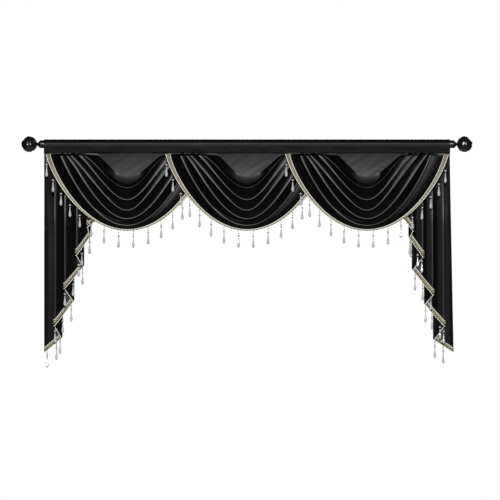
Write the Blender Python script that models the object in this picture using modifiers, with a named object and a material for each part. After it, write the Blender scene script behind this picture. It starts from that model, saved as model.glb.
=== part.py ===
"""A window valance: three lapped swags and two pleated tails with beaded trims, on a curtain rod.

Metres, +Z up. The origin is the middle of the rod's axis, +X runs along the rod to the viewer's
right, and -Y faces the viewer. "Forward" below is the distance towards the viewer, so y = -forward.
"""

from collections import namedtuple
from math import acos, atan2, cos, hypot, pi, sin, sqrt

import bmesh
import bpy
from mathutils import Matrix, Vector

# ---------------------------------------------------------------- driving dimensions

VALANCE_WIDTH = 2.000
CLOTH = 0.0016  # thickness of the satin, with its turned hems
CLEARANCE = 0.0003  # between pieces that touch
SAME_POINT = 0.000001

ROD_DIAMETER = 0.038
ROD_PAST_HEADING = 0.004  # how far the rod itself runs out of each end of the heading

NECK_DIAMETER = 0.039
NECK_LENGTH = 0.017
PINCH_DIAMETER = 0.012
BALL_DIAMETER = 0.078
BALL_PAST_HEADING = 0.072  # from the heading's end to the ball's centre
BALL_STEPS = 10
TURNED_STEPS = 24

POCKET_SLACK = 0.0004
POCKET_STEPS = 14
POCKET_SEAM = -0.031  # height where the pocket's back layer meets its front
HEADING_BOTTOM = -0.0440
TUCK = 0.008  # how far the swags and tails run up behind the heading's lower edge

SWAG_SPACING = 0.5895
SWAG_SHIFT = 0.001
SWAG_TOP = -0.0449  # height at which swags and tails come out from under the heading

BRAID_THICKNESS = 0.0012
BRAID_PAST_HEM = 0.003
BRAID_CLEARANCE = 0.00045
TAIL_BRAID_WIDTH = 0.020

STRAND_WIDTH = 0.0018  # of the thread that a drop hangs on
STRAND_SUNK = 0.0004  # how far the thread runs up inside the braid
DROP_SIDES = 4

# Each fold of a swag hangs from shoulder to shoulder. drop: how far its middle lies below the
# heading. left, right: how far its ends lie from the swag's middle. round: how rounded its lowest
# stretch is, where 0 is a sharp V. fall: how steeply it leaves the shoulders. forward: how far its
# middle stands in front of its ends. behind: depth of the furrow under it.
Fold = namedtuple("Fold", "name drop left right round fall forward behind")
SWAG_FOLDS = (
    Fold("top", 0.000, 0.190, 0.170, 0.60, 1.00, 0.000, 0.000),
    Fold("fold_1", 0.169, 0.207, 0.177, 0.60, 1.00, 0.024, 0.024),
    Fold("fold_2", 0.227, 0.229, 0.214, 0.28, 1.00, 0.035, 0.022),
    Fold("fold_3", 0.279, 0.264, 0.251, 0.32, 1.00, 0.043, 0.018),
    Fold("fold_4", 0.321, 0.296, 0.291, 0.65, 1.00, 0.048, 0.014),
    Fold("fold_5", 0.353, 0.331, 0.318, 1.50, 1.00, 0.048, 0.000),
    Fold("braid", 0.369, 0.385, 0.385, 8.00, 0.77, 0.041, 0.000),
    Fold("edge", 0.379, 0.406, 0.406, 8.00, 0.77, 0.026, 0.000),
)

# Rows of a swag between one fold's crest and the next: down is the share of the way, and back the
# share of the upper fold's furrow. The open bowl above the first fold hangs straight, then swells.
Row = namedtuple("Row", "down back")
BOWL_ROWS = (Row(0.00, 0.0), Row(0.35, 0.0), Row(0.68, 0.0))
BOWL_SWELL = 3.0  # power of the bowl's swell towards the first crest
FURROW_ROWS = (Row(0.00, 0.0), Row(0.14, 1.0), Row(0.55, 0.62))
BAND_ROWS = (Row(0.00, 0.0), Row(0.50, 0.0))

SWAG_COLUMNS = 20
EVEN_COLUMNS = 0.6  # the rest is a crowding of columns towards the steep shoulders
SHOULDER_FORWARD_LEFT = 0.0183  # a left shoulder lies in front of the next swag's right one
SHOULDER_FORWARD_RIGHT = 0.0110
SHOULDER_LIFT = 0.014  # the left side also stands out further, once below the heading
LIFT_HEIGHT = 0.050
FURROW_AT_SHOULDER = 0.12  # what is left of a furrow where it is sewn into the shoulder

# Where the drops of a swag hang, from its middle. The last ones at the right are left out where the
# next swag covers them.
SWAG_DROPS = (0.036, 0.108, 0.172, 0.229, 0.277, 0.320, 0.360, 0.392)
COVERED_FROM = 0.300

# Pleats of a tail, from its outer edge inwards and from the back to the front: each row is a fold.
# inward: from the valance's end at the hem. flare: how far the fold swings outwards from top to
# hem. drop: from the heading to the hem.
Pleat = namedtuple("Pleat", "inward flare drop")
TAIL_PLEATS_LEFT = (
    Pleat(0.000, 0.000, 0.970),
    Pleat(0.089, 0.000, 0.901),
    Pleat(0.049, 0.000, 0.842),
    Pleat(0.148, 0.000, 0.722),
    Pleat(0.099, 0.000, 0.658),
    Pleat(0.197, 0.000, 0.549),
    Pleat(0.158, 0.000, 0.493),
    Pleat(0.231, 0.000, 0.401),
    Pleat(0.214, 0.000, 0.357),
    Pleat(0.251, 0.000, 0.330),
)
TAIL_PLEATS_RIGHT = (
    Pleat(-0.019, 0.019, 0.960),
    Pleat(0.081, 0.004, 0.904),
    Pleat(0.025, 0.004, 0.837),
    Pleat(0.126, 0.000, 0.731),
    Pleat(0.081, 0.002, 0.682),
    Pleat(0.187, 0.000, 0.566),
    Pleat(0.131, 0.000, 0.500),
    Pleat(0.204, 0.000, 0.411),
    Pleat(0.182, 0.000, 0.377),
    Pleat(0.227, 0.000, 0.318),
)
TAIL_FRONT = {-1: 0.0132, 1: 0.0037}  # how far forward the left and the right tail's front pleat lies
PLEAT_GAP_TOP = 0.0024  # from one layer of a pleat to the next, at the heading
PLEAT_GAP_FACE = 0.0090  # lower down, between two faces that carry braid
PLEAT_GAP_BACK = 0.0046  # lower down, between two plain backs
PLEATS_OPEN_OVER = 0.280  # the height over which the pleats open
TAIL_COMES_FORWARD = 0.016  # of the whole tail, once it is below its swag's shoulder
FORWARD_FROM = 0.100
FORWARD_OVER = 0.250
PLEAT_LAYERS = 9
BEND_STEPS = 3
TAIL_ROWS = (0.0, 0.07, 0.15, 0.24, 0.34, 0.66)

# Drops of a tail: which layer each hangs from, counted from the back, and how far inwards.
TAIL_DROPS_LEFT = (
    (0, 0.014), (0, 0.060), (1, 0.079), (2, 0.054), (2, 0.091), (2, 0.133), (4, 0.104),
    (4, 0.144), (4, 0.190), (5, 0.171), (6, 0.187), (6, 0.226), (7, 0.225),
)
TAIL_DROPS_RIGHT = (
    (0, 0.032), (0, 0.073), (2, 0.030), (2, 0.049), (2, 0.088), (2, 0.119), (4, 0.094),
    (4, 0.133), (4, 0.171), (6, 0.140), (6, 0.160), (6, 0.192), (7, 0.197),
)

# A crystal drop, from its root down: depth below the hem, and half its width there.
Ring = namedtuple("Ring", "below radius")
DROP_RINGS = (
    Ring(0.0210, 0.0009),
    Ring(0.0250, 0.0040),
    Ring(0.0295, 0.0010),
    Ring(0.0430, 0.0014),
    Ring(0.0700, 0.0060),
    Ring(0.0820, 0.0008),
)

# Materials: colour, roughness, metallic
Finish = namedtuple("Finish", "name colour roughness metallic")
BLACK_SATIN = Finish("black_satin", (0.012, 0.012, 0.014), 0.38, 0.0)
GOLD_BRAID = Finish("gold_braid", (0.62, 0.50, 0.30), 0.60, 0.2)
GLOSS_BLACK = Finish("gloss_black", (0.008, 0.008, 0.010), 0.15, 0.0)


# ---------------------------------------------------------------- scene helpers


def clear_scene():
    for obj in list(bpy.data.objects):
        bpy.data.objects.remove(obj, do_unlink=True)


def make_collection(name, hidden=False):
    collection = bpy.data.collections.new(name)
    bpy.context.scene.collection.children.link(collection)
    collection.hide_render = hidden
    return collection


def make_material(finish):
    material = bpy.data.materials.get(finish.name)
    if material:
        return material
    material = bpy.data.materials.new(finish.name)
    material.use_nodes = True
    shader = material.node_tree.nodes["Principled BSDF"]
    shader.inputs["Base Color"].default_value = (*finish.colour, 1.0)
    shader.inputs["Roughness"].default_value = finish.roughness
    shader.inputs["Metallic"].default_value = finish.metallic
    return material


def add_object(name, data, finish, collection):
    obj = bpy.data.objects.new(name, data)
    data.materials.append(make_material(finish))
    collection.objects.link(obj)
    return obj


def mesh_from_grid(name, grid):
    """A sheet through rows of points, from the top down. Points in one place become one."""
    shape = bmesh.new()
    rows = [[shape.verts.new(point) for point in row] for row in grid]
    for upper, lower in zip(rows, rows[1:]):
        for a, b, c, d in zip(upper, upper[1:], lower[1:], lower):
            shape.faces.new((a, d, c, b))
    bmesh.ops.remove_doubles(shape, verts=shape.verts, dist=SAME_POINT)
    mesh = bpy.data.meshes.new(name)
    shape.to_mesh(mesh)
    shape.free()
    return mesh


def thicken(obj, thickness):
    solidify = obj.modifiers.new("thickness", "SOLIDIFY")
    solidify.thickness = thickness
    solidify.offset = 0.0
    return solidify


def blend(a, b, share):
    return a + (b - a) * share


def soft_step(share):
    share = min(max(share, 0.0), 1.0)
    return share * share * (3 - 2 * share)


# ---------------------------------------------------------------- rod and finials


def make_rod(collection):
    shape = bmesh.new()
    length = VALANCE_WIDTH + 2 * ROD_PAST_HEADING
    turn = Matrix.Rotation(pi / 2, 4, "Y")
    bmesh.ops.create_cone(
        shape, cap_ends=True, segments=32, radius1=ROD_DIAMETER / 2, radius2=ROD_DIAMETER / 2,
        depth=length, matrix=turn,
    )
    mesh = bpy.data.meshes.new("rod")
    shape.to_mesh(mesh)
    shape.free()
    return add_object("rod", mesh, GLOSS_BLACK, collection)


def finial_profile():
    """Half outline of ball, pinch and neck, from the ball's far pole down to the rod's end."""
    ball = BALL_DIAMETER / 2
    pinch = PINCH_DIAMETER / 2
    centre = BALL_PAST_HEADING - ROD_PAST_HEADING - CLEARANCE
    last_angle = pi - atan2(pinch, sqrt(ball**2 - pinch**2))
    outline = []
    for step in range(BALL_STEPS + 1):
        angle = last_angle * step / BALL_STEPS
        outline.append((ball * sin(angle), centre + ball * cos(angle)))
    outline.append((NECK_DIAMETER / 2, NECK_LENGTH))
    outline.append((NECK_DIAMETER / 2, 0.0))
    outline.append((0.0, 0.0))
    return outline


def make_finial(name, side, collection):
    outline = finial_profile()
    mesh = bpy.data.meshes.new(name)
    points = [(radius, 0.0, height) for radius, height in outline]
    edges = [(i, i + 1) for i in range(len(points) - 1)]
    mesh.from_pydata(points, edges, [])
    finial = add_object(name, mesh, GLOSS_BLACK, collection)
    screw = finial.modifiers.new("turned", "SCREW")
    screw.steps = screw.render_steps = TURNED_STEPS
    screw.use_merge_vertices = True
    screw.merge_threshold = 0.0001
    finial.rotation_euler = (0.0, side * pi / 2, 0.0)
    finial.location.x = side * (VALANCE_WIDTH / 2 + ROD_PAST_HEADING + CLEARANCE)
    return finial


# ---------------------------------------------------------------- heading


def arc(radius, start, end):
    """Points (y, z) on a circle round the rod. Angle 0 is the back, and pi / 2 the top."""
    angles = [blend(start, end, step / POCKET_STEPS) for step in range(POCKET_STEPS + 1)]
    return [(radius * cos(angle), radius * sin(angle)) for angle in angles]


def pocket_outlines():
    """Section of the pocket: its outer outline with the hanging front strip, and its hollow."""
    inner = ROD_DIAMETER / 2 + POCKET_SLACK
    outer = inner + CLOTH
    # The back layer leaves the rod on the tangent that runs to the seam.
    seam_y, seam_z = -inner, POCKET_SEAM
    reach = hypot(seam_y, seam_z)
    leave = atan2(seam_z, seam_y) + acos(inner / reach)
    hollow = arc(inner, pi, leave) + [(seam_y, seam_z)]
    along = Vector((seam_y - inner * cos(leave), seam_z - inner * sin(leave))).normalized()
    out_start = Vector((outer * cos(leave), outer * sin(leave)))
    run = (seam_y - out_start.x) / along.x
    joint = out_start + along * run
    outline = [(-outer, HEADING_BOTTOM)] + arc(outer, pi, leave)
    outline += [(joint.x, joint.y), (-inner, HEADING_BOTTOM)]
    return outline, hollow


def make_heading(collection):
    curve = bpy.data.curves.new("heading", "CURVE")
    curve.dimensions = "2D"
    curve.fill_mode = "BOTH"
    curve.extrude = VALANCE_WIDTH / 2
    for outline in pocket_outlines():
        spline = curve.splines.new("POLY")
        spline.points.add(len(outline) - 1)
        for point, (y, z) in zip(spline.points, outline):
            point.co = (y, z, 0.0, 1.0)
        spline.use_cyclic_u = True
    heading = add_object("heading", curve, BLACK_SATIN, collection)
    # The curve's own X, Y and Z become the valance's Y, Z and X.
    heading.matrix_world = Matrix(((0, 0, 1, 0), (1, 0, 0, 0), (0, 1, 0, 0), (0, 0, 0, 1)))
    return heading


# ---------------------------------------------------------------- swags


def hang(fold, across):
    """Share of a fold's drop that it reaches at this share of the way out from its middle."""
    spread = fold.round
    slack = (sqrt(across**2 + spread**2) - spread) / (sqrt(1 + spread**2) - spread)
    return max(1 - slack, 0.0) ** fold.fall


def fold_point(fold, across):
    """(x, drop, forward) of a fold's crest, from the swag's middle and the heading's lower edge."""
    reach = fold.left if across < 0 else fold.right
    forward = fold.forward * (1 - across**2) ** 2
    return Vector((reach * across, fold.drop * hang(fold, across), forward))


def shoulder_forward(across, drop):
    """How far forward the cloth lies before its folds swell: the left side laps over its neighbour."""
    left = (1 - across) / 2
    tucked = blend(SHOULDER_FORWARD_RIGHT, SHOULDER_FORWARD_LEFT, left)
    return tucked + SHOULDER_LIFT * left * soft_step(drop / LIFT_HEIGHT)


def swag_rows():
    """Every row of a swag as (upper fold, lower fold, share of the way down, depth of furrow)."""
    rows = []
    for upper, lower in zip(SWAG_FOLDS, SWAG_FOLDS[1:]):
        if upper.name == "top":
            between = BOWL_ROWS
        elif lower.name == "edge":
            hem = 1 - BRAID_PAST_HEM / hypot(lower.drop - upper.drop, upper.forward - lower.forward)
            between = (Row(0.0, 0.0), Row(hem, 0.0))
        else:
            between = BAND_ROWS if upper.name == "fold_5" else FURROW_ROWS
        rows += [(upper, lower, row.down, row.back * upper.behind) for row in between]
    rows.append((upper, lower, 1.0, 0.0))
    return rows


def swag_point(row, across):
    upper, lower, down, furrow = row
    swell = down**BOWL_SWELL if upper.name == "top" else down
    above, below = fold_point(upper, across), fold_point(lower, across)
    point = above.lerp(below, down)
    softened = blend(FURROW_AT_SHOULDER, 1.0, (1 - across**2) ** 0.8)
    forward = blend(above.z, below.z, swell) - furrow * softened
    forward += shoulder_forward(across, point.y)
    return Vector((point.x, -forward, SWAG_TOP - point.y))


def swag_grid(middle_x):
    """Rows of points from the heading to the braid's outer edge, which lies past the cloth's hem."""
    places = []
    for column in range(SWAG_COLUMNS + 1):
        share = column / SWAG_COLUMNS
        places.append(blend(-cos(pi * share), 2 * share - 1, EVEN_COLUMNS))
    shift = Vector((middle_x, 0.0, 0.0))
    return [[swag_point(row, place) + shift for place in places] for row in swag_rows()]


def tucked(grid):
    """The same cloth, run up behind the heading along its top row and at both shoulders."""
    up = Vector((0.0, 0.0, TUCK))
    top = [point + up for point in grid[0]]
    return [[top[0]] + top + [top[-1]]] + [[row[0] + up] + row + [row[-1] + up] for row in grid]


def make_swag(name, middle_x, collection):
    cloth = tucked(swag_grid(middle_x)[:-1])
    swag = add_object(name, mesh_from_grid(name, cloth), BLACK_SATIN, collection)
    thicken(swag, CLOTH)
    return swag


# ---------------------------------------------------------------- tails


def layer_forward(layer, drop):
    """How far a layer lies in front of the front one: pleats are pressed at the heading and open below."""
    opened = soft_step(drop / PLEATS_OPEN_OVER)
    forward = 0.0
    for gap in range(PLEAT_LAYERS - 1, layer, -1):
        wide = PLEAT_GAP_FACE if gap % 2 else PLEAT_GAP_BACK
        forward -= blend(PLEAT_GAP_TOP, wide, opened)
    return forward


def pleat_inward(pleat, drop):
    return pleat.inward + pleat.flare * (1 - drop / pleat.drop)


def bend_point(pleats, fold, turn, drop):
    """(inward, forward) of a point on the round bend between two layers, and which way it faces."""
    back, front = layer_forward(fold - 1, drop), layer_forward(fold, drop)
    radius = (front - back) / 2
    inner_tip = fold % 2 == 1
    side = 1 if inner_tip else -1
    centre = pleat_inward(pleats[fold], drop) - side * radius
    angle = pi * turn - pi / 2
    place = (centre + side * radius * cos(angle), (front + back) / 2 + radius * sin(angle))
    away = (side * cos(angle), sin(angle))
    face = (-away[0], -away[1]) if inner_tip else away
    return place, face


def tail_columns(pleats):
    """Each column of a tail: a function of the height, and the hem's drop there."""
    columns = []
    last = len(pleats) - 1

    def flat_end(layer, pleat):
        def at(drop):
            return (pleat_inward(pleat, drop), layer_forward(layer, drop)), (0.0, 1.0)

        return at

    def bend(fold, turn):
        def at(drop):
            return bend_point(pleats, fold, turn, drop)

        return at

    columns.append((flat_end(0, pleats[0]), pleats[0].drop, 0))
    for fold in range(1, last):
        for step in range(BEND_STEPS + 1):
            columns.append((bend(fold, step / BEND_STEPS), pleats[fold].drop, fold))
    columns.append((flat_end(last - 1, pleats[last]), pleats[last].drop, last))
    return columns


def hem_slope(pleats, fold):
    """How much taller than wide the braid is here, because it runs along a slanting hem."""
    before, after = max(fold - 1, 0), min(fold + 1, len(pleats) - 1)
    rise = abs(pleats[before].drop - pleats[after].drop)
    path = sum(abs(pleats[i + 1].inward - pleats[i].inward) for i in range(before, after))
    return hypot(1.0, rise / path)


def tail_point(side, column, drop, outwards=0.0):
    place, face = column[0](drop)
    inward = place[0] + face[0] * outwards
    forward = TAIL_FRONT[side] + place[1] + face[1] * outwards
    forward += TAIL_COMES_FORWARD * soft_step((drop - FORWARD_FROM) / FORWARD_OVER)
    return Vector((side * (VALANCE_WIDTH / 2 - inward), -forward, SWAG_TOP - drop))


def make_tail(name, side, pleats, collection):
    grid = []
    columns = tail_columns(pleats)
    grid.append([tail_point(side, column, 0.0) + Vector((0.0, 0.0, TUCK)) for column in columns])
    for share in TAIL_ROWS:
        row = []
        for column in columns:
            braid_top = column[1] - TAIL_BRAID_WIDTH * hem_slope(pleats, column[2])
            row.append(tail_point(side, column, braid_top * share))
        grid.append(row)
    for below in (TAIL_BRAID_WIDTH, BRAID_PAST_HEM):
        row = []
        for column in columns:
            hem = column[1] - below * hem_slope(pleats, column[2])
            row.append(tail_point(side, column, hem))
        grid.append(row)
    tail = add_object(name, mesh_from_grid(name, grid), BLACK_SATIN, collection)
    thicken(tail, CLOTH)
    return tail


# ---------------------------------------------------------------- beaded trims


def drop_mesh(roots):
    """One crystal drop under each root point, its top sunk into the braid's overhang."""
    rings = (Ring(-STRAND_SUNK, STRAND_WIDTH / 2),) + DROP_RINGS
    shape = bmesh.new()
    for root in roots:
        loops = []
        for ring in rings:
            loop = []
            for corner in range(DROP_SIDES):
                angle = 2 * pi * (corner + 0.5) / DROP_SIDES
                around = Vector((cos(angle), sin(angle), 0.0)) * ring.radius
                loop.append(shape.verts.new(root + around - Vector((0.0, 0.0, ring.below))))
            loops.append(loop)
        for upper, lower in zip(loops, loops[1:]):
            for corner in range(DROP_SIDES):
                following = (corner + 1) % DROP_SIDES
                shape.faces.new((upper[corner], lower[corner], lower[following], upper[following]))
        shape.faces.new(loops[0])
        shape.faces.new(loops[-1][::-1])
    mesh = bpy.data.meshes.new("drops")
    shape.to_mesh(mesh)
    shape.free()
    return mesh


def make_trim(name, grid, roots, collection, guides):
    """A braid strip through the grid, with its drops joined on by a Boolean union."""
    trim = add_object(name, mesh_from_grid(name, grid), GOLD_BRAID, collection)
    thicken(trim, BRAID_THICKNESS)
    drops = add_object(name + "_drops", drop_mesh(roots), GOLD_BRAID, guides)
    drops.hide_render = True
    drops.display_type = "WIRE"
    union = trim.modifiers.new("drops", "BOOLEAN")
    union.operation = "UNION"
    union.object = drops
    return trim


def facing(grid, row, column):
    """The direction in which a sheet faces at one of its points, towards the viewer."""
    left, right = max(column - 1, 0), min(column + 1, len(grid[row]) - 1)
    above, below = max(row - 1, 0), min(row + 1, len(grid) - 1)
    along = grid[row][right] - grid[row][left]
    down = grid[below][column] - grid[above][column]
    normal = down.cross(along).normalized()
    return -normal if normal.y > 0 else normal


def point_along(line, x):
    """The point of a polyline at this x."""
    for start, end in zip(line, line[1:]):
        if start.x <= x <= end.x:
            return start.lerp(end, (x - start.x) / (end.x - start.x))
    raise ValueError(f"no point of the hem at {x}")


def make_swag_trim(name, middle_x, covered, collection, guides):
    rows = swag_grid(middle_x)[-3:]  # the braid's upper edge, the cloth's hem, the braid's lower edge
    away = CLOTH / 2 + BRAID_CLEARANCE + BRAID_THICKNESS / 2
    strip = [
        [point + facing(rows, row, column) * away for column, point in enumerate(rows[row])]
        for row in range(len(rows))
    ]
    root_line = [hem.lerp(edge, 0.5) for hem, edge in zip(strip[1], strip[2])]
    places = sorted([-place for place in SWAG_DROPS] + list(SWAG_DROPS))
    if covered:
        places = [place for place in places if place < COVERED_FROM]
    roots = [point_along(root_line, middle_x + place) for place in places]
    return make_trim(name, strip, roots, collection, guides)


def make_tail_trim(name, side, pleats, drops, collection, guides):
    away = CLOTH / 2 + BRAID_CLEARANCE + BRAID_THICKNESS / 2
    columns = tail_columns(pleats)
    strip = []
    for below in (TAIL_BRAID_WIDTH, BRAID_PAST_HEM, 0.0):
        row = []
        for column in columns:
            height = column[1] - below * hem_slope(pleats, column[2])
            row.append(tail_point(side, column, height, away))
        strip.append(row)
    roots = []
    for layer, inward in drops:
        first = layer * (BEND_STEPS + 1)
        hem = [strip[1][i].lerp(strip[2][i], 0.5) for i in (first, first + 1)]
        hem.sort(key=lambda point: point.x)
        roots.append(point_along(hem, side * (VALANCE_WIDTH / 2 - inward)))
    return make_trim(name, strip, roots, collection, guides)


# ---------------------------------------------------------------- the valance


def main():
    clear_scene()
    parts = make_collection("window_valance")
    guides = make_collection("guides", hidden=True)

    make_rod(parts)
    make_finial("finial_left", -1, parts)
    make_finial("finial_right", 1, parts)
    make_heading(parts)

    for place, name in enumerate(("left", "centre", "right"), start=-1):
        middle_x = SWAG_SHIFT + SWAG_SPACING * place
        make_swag("swag_" + name, middle_x, parts)
        make_swag_trim("trim_swag_" + name, middle_x, name != "right", parts, guides)

    for name, side, pleats, drops in (
        ("left", -1, TAIL_PLEATS_LEFT, TAIL_DROPS_LEFT),
        ("right", 1, TAIL_PLEATS_RIGHT, TAIL_DROPS_RIGHT),
    ):
        make_tail("tail_" + name, side, pleats, parts)
        make_tail_trim("trim_tail_" + name, side, pleats, drops, parts, guides)


if __name__ == "__main__":
    main()
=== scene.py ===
"""Window valance on a curtain rod: black satin swags and pleated tails with a beaded gold braid.

Metres, +Z up. The origin is the middle of the rod's axis, +X runs along the rod to the viewer's
right, and -Y faces the viewer. "Forward" below is the distance towards the viewer, so y = -forward,
and "drop" is the distance below SWAG_TOP, just above the heading's lower edge.
"""

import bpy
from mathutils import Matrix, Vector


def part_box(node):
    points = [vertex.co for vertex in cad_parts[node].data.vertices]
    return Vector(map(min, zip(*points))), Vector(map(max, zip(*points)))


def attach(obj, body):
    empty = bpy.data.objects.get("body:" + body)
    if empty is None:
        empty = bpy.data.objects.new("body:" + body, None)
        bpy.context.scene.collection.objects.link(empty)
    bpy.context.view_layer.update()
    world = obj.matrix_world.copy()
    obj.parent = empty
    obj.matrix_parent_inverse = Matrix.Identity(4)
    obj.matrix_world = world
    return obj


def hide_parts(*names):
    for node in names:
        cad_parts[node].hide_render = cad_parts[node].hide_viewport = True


bl_info = {
    "name": "Window Valance",
    "version": (1, 0, 0),
    "blender": (4, 5, 0),
    "location": "View3D > Sidebar > Valance",
    "description": "Three satin swags and two pleated tails with a beaded braid, on a curtain rod",
    "category": "Add Mesh",
}

from collections import namedtuple
from math import atan2, cos, hypot, pi, radians, sin, sqrt

import bmesh
import bpy
import numpy as np
from bpy.props import FloatProperty, FloatVectorProperty, IntProperty, PointerProperty
from mathutils import Vector, noise

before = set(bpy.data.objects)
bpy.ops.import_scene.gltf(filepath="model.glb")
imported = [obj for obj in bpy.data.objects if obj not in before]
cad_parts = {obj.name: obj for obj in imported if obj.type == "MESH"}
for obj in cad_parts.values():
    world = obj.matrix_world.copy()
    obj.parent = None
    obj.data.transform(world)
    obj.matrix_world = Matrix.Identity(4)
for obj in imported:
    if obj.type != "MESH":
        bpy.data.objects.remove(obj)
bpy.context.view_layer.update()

# ---------------------------------------------------------------- sizes taken from the frame

HEADING_LOW, HEADING_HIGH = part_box("heading")
HALF_WIDTH = HEADING_HIGH.x
HEADING_BOTTOM = HEADING_LOW.z
ROD_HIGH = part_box("rod")[1]
ROD_RADIUS = ROD_HIGH.z
ROD_END = ROD_HIGH.x
FINIAL_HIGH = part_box("finial_right")[1]
BALL_RADIUS = FINIAL_HIGH.z
BALL_CENTRE = FINIAL_HIGH.x - BALL_RADIUS
SWAG_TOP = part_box("swag_centre")[1].z - 0.008  # the solid runs 8 mm up behind the heading
TUCK = 0.006  # how far swags and tails run up behind the heading from there
TUCK_ASIDE, TUCK_CORNER = 0.0006, 1.05  # so that no two points of a tucked shoulder meet

# ---------------------------------------------------------------- what a user would change


def size_setting(name, description, default, low, high):
    return FloatProperty(
        name=name, description=description, default=default, min=low, max=high, unit="LENGTH", precision=4
    )


def colour_setting(name, description, default, precision=2):
    return FloatVectorProperty(
        name=name, description=description, default=default, min=0.0, max=1.0, subtype="COLOR", size=3,
        precision=precision,
    )


class ValanceClothSettings(bpy.types.PropertyGroup):
    """The satin and how its folds roll."""

    thickness: size_setting("Cloth thickness", "Satin with its turned hem", 0.0016, 0.0005, 0.003)
    roll_left: size_setting(
        "Roll at left shoulder", "Radius of a swag's folds beside its left shoulder", 0.036, 0.002, 0.1
    )
    roll_middle: size_setting(
        "Roll at the middle", "Radius of a swag's folds at their lowest point", 0.010, 0.002, 0.1
    )
    roll_right: size_setting(
        "Roll at right shoulder", "Radius of a swag's folds beside its right shoulder", 0.022, 0.002, 0.1
    )
    colour: colour_setting("Satin", "Colour of the satin", (0.0007, 0.0007, 0.0009), precision=4)
    columns: IntProperty(
        name="Columns", description="How finely a swag is divided across", default=144, min=24, max=400
    )


class ValanceTrimSettings(bpy.types.PropertyGroup):
    """The braid and the crystal drops."""

    braid_pitch: size_setting("Braid pitch", "Length of one wave of the plaited cords", 0.03, 0.003, 0.05)
    cord_radius: size_setting("Cord radius", "Radius of the braid's cords", 0.0013, 0.0003, 0.003)
    pale_gold: colour_setting("Pale gold", "Colour of the braid's edge cords", (0.97, 0.92, 0.82))
    old_gold: colour_setting("Old gold", "Colour of the braid's plaited cords", (0.54, 0.49, 0.31))
    dark_gold: colour_setting("Dark gold", "Colour of the braid's woven tape", (0.03, 0.020, 0.010))
    crystal: colour_setting("Crystal", "Tint of the crystal drops", (0.74, 0.74, 0.76))
    seed: IntProperty(
        name="Seed", description="How the crystal drops are turned on their threads", default=7
    )


class ValanceRodSettings(bpy.types.PropertyGroup):
    """The rod and its finials."""

    enamel: colour_setting("Enamel", "Colour of the rod and the finials", (0.006, 0.006, 0.007))
    turned_steps: IntProperty(
        name="Steps round", description="How finely the finials are divided", default=72, min=12, max=256
    )


class ValanceStageSettings(bpy.types.PropertyGroup):
    """The studio round the valance."""

    floor_height: FloatProperty(
        name="Floor", description="Height of the floor below the rod", default=-2.30, unit="LENGTH"
    )
    key_power: FloatProperty(
        name="Key light", description="Power of the light beside the camera", default=2850.0,
        min=0.0, unit="POWER",
    )
    back_power: FloatProperty(
        name="Back lights", description="Power of each of the two lights behind the valance",
        default=60.0, min=0.0, unit="POWER",
    )
    fill: FloatProperty(
        name="Fill", description="Strength of the even light from all round", default=0.02, min=0.0
    )


SETTINGS = {
    "cloth": ValanceClothSettings,
    "trim": ValanceTrimSettings,
    "rod": ValanceRodSettings,
    "stage": ValanceStageSettings,
}


def settings(group):
    return getattr(bpy.context.scene, "valance_" + group)


# ---------------------------------------------------------------- small helpers


def blend(a, b, share):
    return a + (b - a) * share


def soft_step(share):
    share = np.clip(share, 0.0, 1.0)
    return share * share * (3 - 2 * share)


def ramp(share):
    """Rises evenly and then levels off at 1."""
    return np.maximum((share + 1 - np.sqrt((share - 1) ** 2 + 0.04)) / 2, 0.0)


def climb(distance, radius, slope):
    """How far cloth lies behind a fold's crest: it rolls over with the radius, then runs straight."""
    straight = slope * distance - radius * slope**2 / 2
    return np.where(distance < radius * slope, distance**2 / (2 * radius), straight)


def spacing(points, axis=0):
    """Distances between neighbouring points."""
    return np.linalg.norm(np.diff(points, axis=axis), axis=-1)


def facing(grid):
    """Which way a sheet's face looks at each of its points."""
    normal = np.cross(np.gradient(grid, axis=0), np.gradient(grid, axis=1))
    return normal / np.maximum(np.linalg.norm(normal, axis=2, keepdims=True), 1e-9)


def new_object(name, data):
    obj = bpy.data.objects.new(name, data)
    bpy.context.scene.collection.objects.link(obj)
    return obj


def plain_mesh(obj):
    """The object's evaluated mesh, put in place of its mesh and modifiers."""
    evaluated = obj.evaluated_get(bpy.context.evaluated_depsgraph_get())
    mesh = bpy.data.meshes.new_from_object(evaluated)
    mesh.name = obj.name
    obj.modifiers.clear()
    obj.data = mesh
    return obj


def sheet_object(name, grid, material, thickness):
    """A sheet through rows of points from the top down, its face towards the viewer."""
    rows, columns = grid.shape[:2]
    index = np.arange(rows * columns).reshape(rows, columns)
    quads = np.stack((index[:-1, :-1], index[1:, :-1], index[1:, 1:], index[:-1, 1:]), axis=-1)
    mesh = bpy.data.meshes.new(name)
    mesh.from_pydata(grid.reshape(-1, 3).tolist(), [], quads.reshape(-1, 4).tolist())
    place = np.zeros((rows, columns, 2))
    place[:, 1:, 0] = np.cumsum(spacing(grid, axis=1), axis=1)
    place[1:, :, 1] = np.cumsum(spacing(grid, axis=0), axis=0)
    corners = np.zeros(len(mesh.loops), dtype=int)
    mesh.loops.foreach_get("vertex_index", corners)
    layer = mesh.uv_layers.new(name="cloth")
    layer.data.foreach_set("uv", place.reshape(-1, 2)[corners].ravel())
    mesh.materials.append(material_named(material))
    obj = new_object(name, mesh)
    solidify = obj.modifiers.new("thickness", "SOLIDIFY")
    solidify.thickness = thickness
    solidify.offset = 0.0
    plain_mesh(obj)
    obj.data.shade_smooth()
    return obj


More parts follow.
